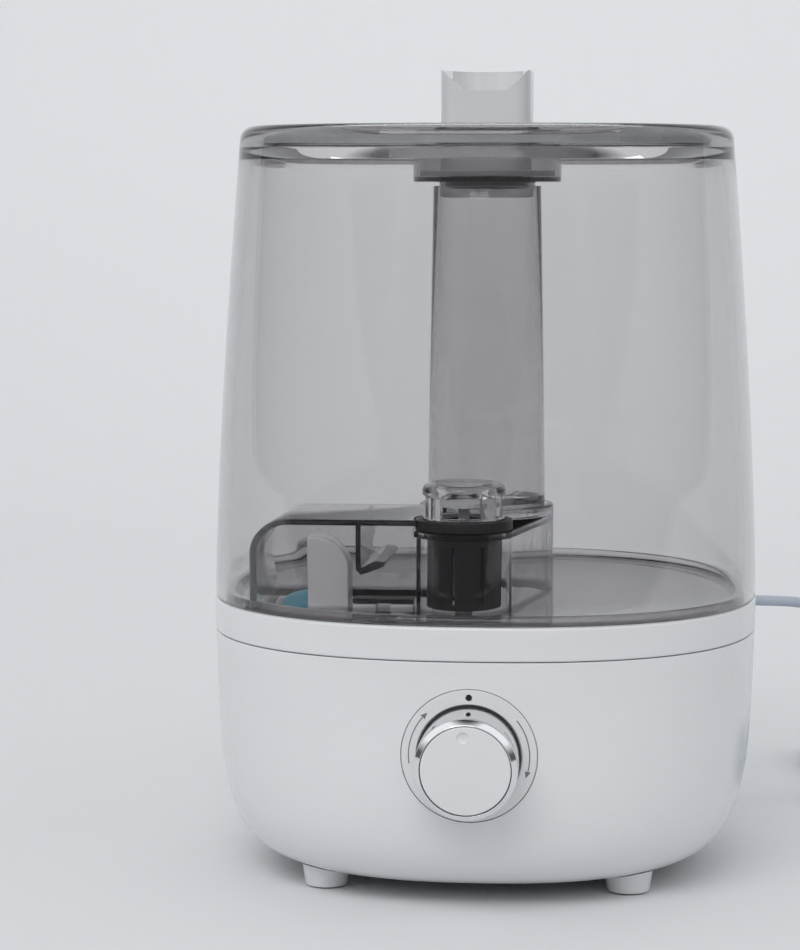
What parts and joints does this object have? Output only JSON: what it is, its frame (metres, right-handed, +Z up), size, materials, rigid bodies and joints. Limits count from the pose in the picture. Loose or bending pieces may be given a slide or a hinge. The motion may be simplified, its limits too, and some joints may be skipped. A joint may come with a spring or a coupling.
{
  "type": "cool mist humidifier",
  "caption": "Free-standing cool mist humidifier: white base with control knob, smoked lift-off water tank, lift-out lid and turning mist nozzle.",
  "frame": {"origin": "on the floor, under the middle of the object's box measured without the cord", "axes": "+Z up; the control knob faces -Y; +X is to the right seen from the front"},
  "size_m": [0.2911, 0.3212, 0.286],
  "materials": {
    "white_gloss": "gloss white moulded plastic",
    "smoked_plastic": "smoked grey transparent moulded plastic",
    "clear_plastic": "clear moulded plastic",
    "black_plastic": "black moulded plastic",
    "black_rubber": "black rubber",
    "teal_plastic": "teal moulded plastic",
    "chrome": "bright plated",
    "steel": "plain steel",
    "aluminium": "satin",
    "brass": "satin",
    "board": "green circuit board",
    "foam": "open cell foam",
    "silicone": "translucent silicone",
    "cord": "pale grey PVC, satin"
  },
  "bodies": {
    "base": {"base_bowl": "white_gloss", "base_deck": "white_gloss", "bottom_cover": "white_gloss", "foot_1": "white_gloss", "foot_2": "white_gloss", "foot_3": "white_gloss", "foot_4": "white_gloss", "foot_pad_1": "black_rubber", "foot_pad_2": "black_rubber", "foot_pad_3": "black_rubber", "foot_pad_4": "black_rubber", "cover_screw_1": "steel", "cover_screw_2": "steel", "cover_screw_3": "steel", "cover_screw_4": "steel", "housing_screw_1": "steel", "housing_screw_2": "steel", "housing_screw_3": "steel", "housing_screw_4": "steel", "dial_plate": "white_gloss", "dial_gasket": "black_rubber", "indicator_lens": "black_plastic", "potentiometer": "steel", "potentiometer_nut": "steel", "main_board": "board", "heat_sink": "aluminium", "transformer": "black_plastic", "fan_frame": "black_plastic", "fan_motor": "steel", "inlet_filter": "foam", "transducer_seal": "silicone", "transducer": "brass", "transducer_clamp": "aluminium", "basin_strip": "black_rubber", "valve_push_pin": "white_gloss", "float_post": "white_gloss", "strain_relief": "cord", "power_cord": "cord", "cord_coil": "cord", "cord_clip": "silicone", "plug_lead": "cord", "plug_body": "cord", "plug_blade_1": "steel", "plug_blade_2": "steel"},
    "knob": {"knob_skirt": "chrome", "knob_face": "white_gloss", "knob_shaft": "steel"},
    "fan_rotor": {"fan_impeller": "black_plastic"},
    "float": {"float": "teal_plastic"},
    "tank": {"tank_shell": "smoked_plastic", "tank_floor": "smoked_plastic", "mist_tube": "smoked_plastic", "valve_body": "black_plastic", "valve_cap": "clear_plastic"},
    "valve_plunger": {"valve_plunger": "silicone", "valve_spring": "steel"},
    "lid": {"lid": "smoked_plastic", "lid_gasket": "silicone"},
    "nozzle": {"mist_nozzle": "white_gloss"}
  },
  "joints": [
    {"name": "knob_turn", "type": "hinge", "parent": "base", "child": "knob", "pos_m": [0, -0.08704, 0.0555], "axis": [0, -0.9976, -0.0698], "range_deg": [-135, 135]},
    {"name": "fan_spin", "type": "hinge", "parent": "base", "child": "fan_rotor", "pos_m": [0, 0.0091, 0.02], "axis": [0, 0, 1], "continuous": true},
    {"name": "float_rise", "type": "slide", "parent": "base", "child": "float", "axis": [0, 0, 1], "range_m": [0, 0.006]},
    {"name": "tank_lift", "type": "slide", "parent": "base", "child": "tank", "axis": [0, 0, 1], "range_m": [0, 0.06]},
    {"name": "valve_drop", "type": "slide", "parent": "tank", "child": "valve_plunger", "axis": [0, 0, -1], "range_m": [0, 0.004], "deforming": ["valve_spring"]},
    {"name": "lid_lift", "type": "slide", "parent": "tank", "child": "lid", "axis": [0, 0, 1], "range_m": [0, 0.04]},
    {"name": "nozzle_turn", "type": "hinge", "parent": "lid", "child": "nozzle", "pos_m": [0, 0.0091, 0.26], "axis": [0, 0, 1], "continuous": true}
  ],
  "couplings": [
    {"joint": "valve_drop", "follows": "tank_lift", "ratio": 0.066666}
  ]
}
